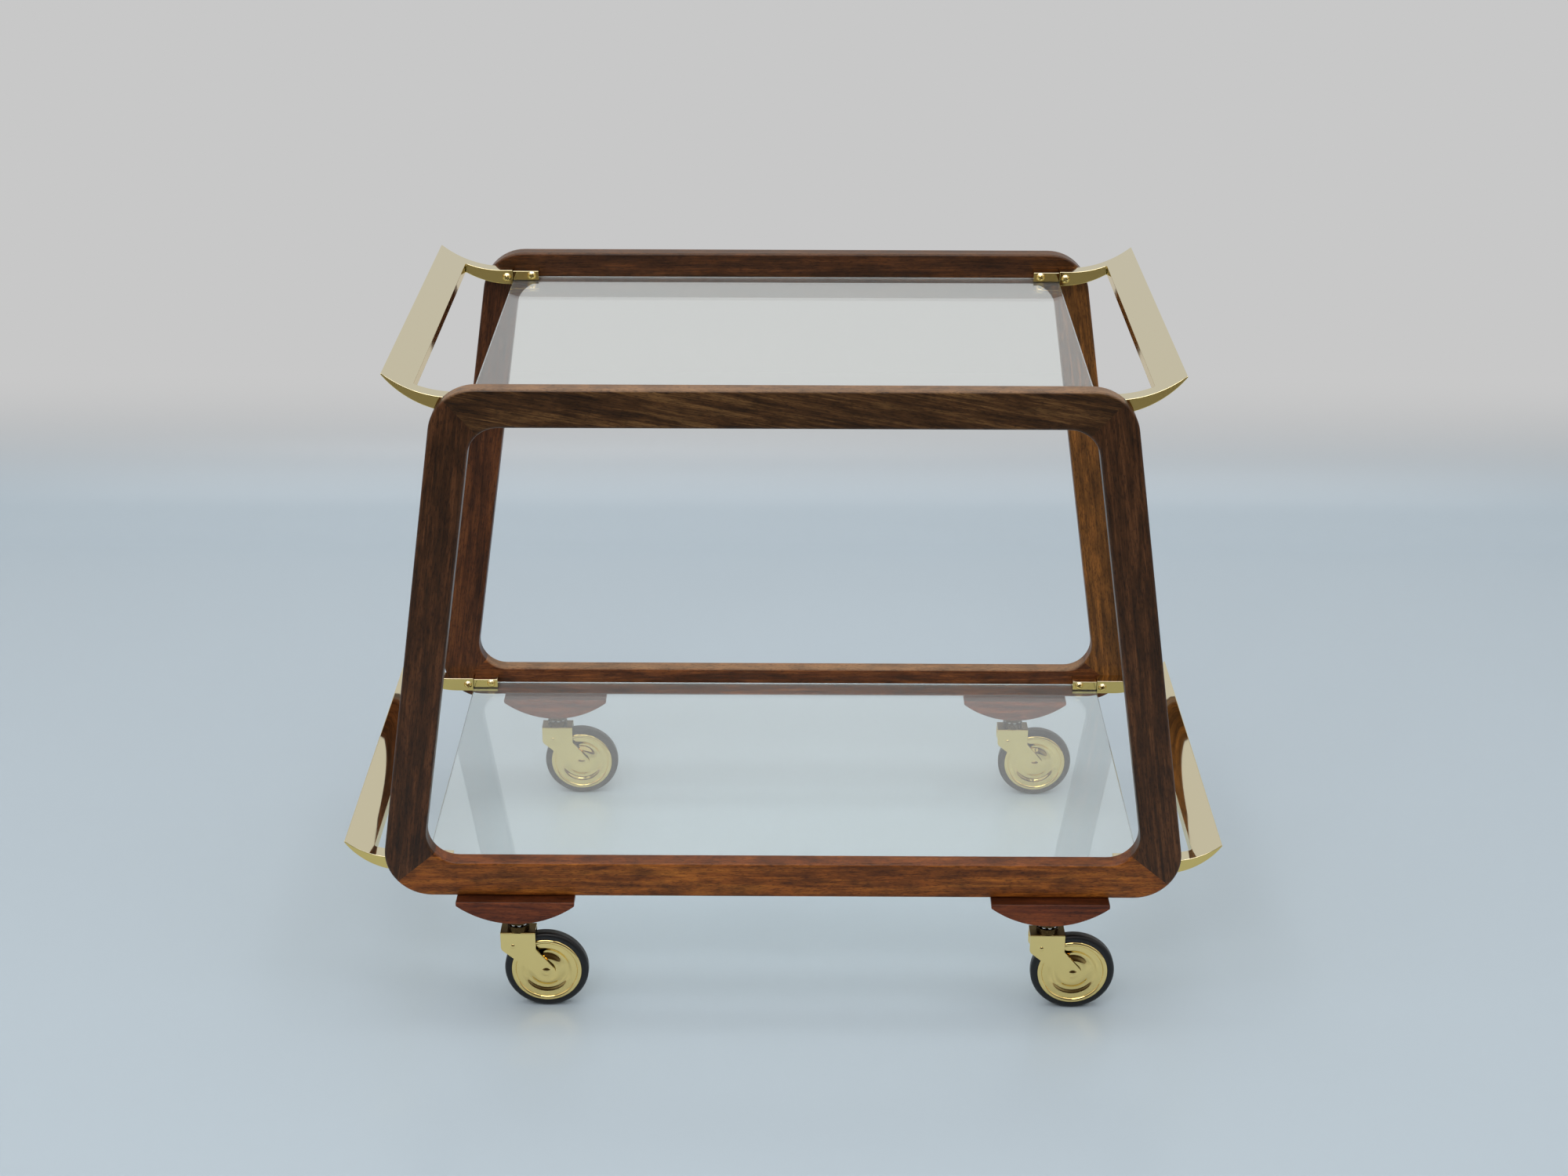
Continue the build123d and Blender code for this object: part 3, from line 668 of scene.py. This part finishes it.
for corner in corners:
    node_name = corner + "_bearing_balls"
    low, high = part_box(node_name)
    ring = bpy.data.objects.new(corner + "_steel_balls", bpy.data.meshes.new("seed"))
    bpy.context.scene.collection.objects.link(ring)
    maker = ring.modifiers.new("balls", "NODES")
    maker.node_group = ring_tree
    values = {
        "Count": ball_count,
        "Ring Radius": ball_ring_radius,
        "Ball Radius": ball_diameter / 2,
        "Centre": (low + high) / 2,
        "Material": ball_steel,
    }
    for item in ring_tree.interface.items_tree:
        if item.in_out == "INPUT":
            maker[item.identifier] = values[item.name]
    ring.update_tag()
    evaluated = ring.evaluated_get(bpy.context.evaluated_depsgraph_get())
    balls_mesh = bpy.data.meshes.new_from_object(evaluated)
    ring.modifiers.remove(maker)
    ring.data = balls_mesh
    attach(ring, corner + "_swivel_fork")
    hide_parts(node_name)


# Tyres. Moulded black rubber, pressed on to the discs. The eye gets a soft dark
# gleam on the side walls and a greyer, scuffed tread.
rubber = new_material("moulded_rubber")
place = add_node(rubber, "ShaderNodeTexCoord")
# Scuffs: patches about 4 mm across.
scuffs = add_node(
    rubber,
    "ShaderNodeTexNoise",
    {"Scale": 240.0, "Detail": 4.0, "Roughness": 0.65},
    {"Vector": place.outputs["Object"]},
)
facing = add_node(rubber, "ShaderNodeSeparateXYZ", links={0: place.outputs["Normal"]})
sideways = add_node(
    rubber, "ShaderNodeMath", {"operation": "ABSOLUTE"}, {0: facing.outputs["Y"]}
)
tread = add_node(
    rubber,
    "ShaderNodeMapRange",
    {"interpolation_type": "SMOOTHSTEP", "From Min": 0.5, "From Max": 0.05},
    {"Value": sideways.outputs[0]},
)
wear = add_node(
    rubber,
    "ShaderNodeMath",
    {"operation": "MULTIPLY"},
    {0: tread.outputs[0], 1: scuffs.outputs[0]},
)
rubber_colour = add_node(
    rubber,
    "ShaderNodeMix",
    {"data_type": "RGBA", 6: hex_colour("#0b0b0c"), 7: hex_colour("#3a3835")},
    {0: wear.outputs[0]},
)
rubber_gloss = add_node(
    rubber,
    "ShaderNodeMapRange",
    {"From Min": 0.3, "From Max": 0.7, "To Min": 0.34, "To Max": 0.5},
    {"Value": scuffs.outputs[0]},
)
scuff_relief = add_node(
    rubber,
    "ShaderNodeBump",
    {"Strength": 0.1, "Distance": 0.0001},
    {"Height": scuffs.outputs[0]},
)
rubber_surface = add_node(
    rubber,
    "ShaderNodeBsdfPrincipled",
    {"IOR": 1.5},
    {
        "Base Color": rubber_colour.outputs[2],
        "Roughness": rubber_gloss.outputs[0],
        "Normal": scuff_relief.outputs[0],
    },
)
add_node(rubber, "ShaderNodeOutputMaterial", links={"Surface": rubber_surface.outputs[0]})
for name in nodes:
    if name.endswith("_tyre"):
        set_material(name, rubber)
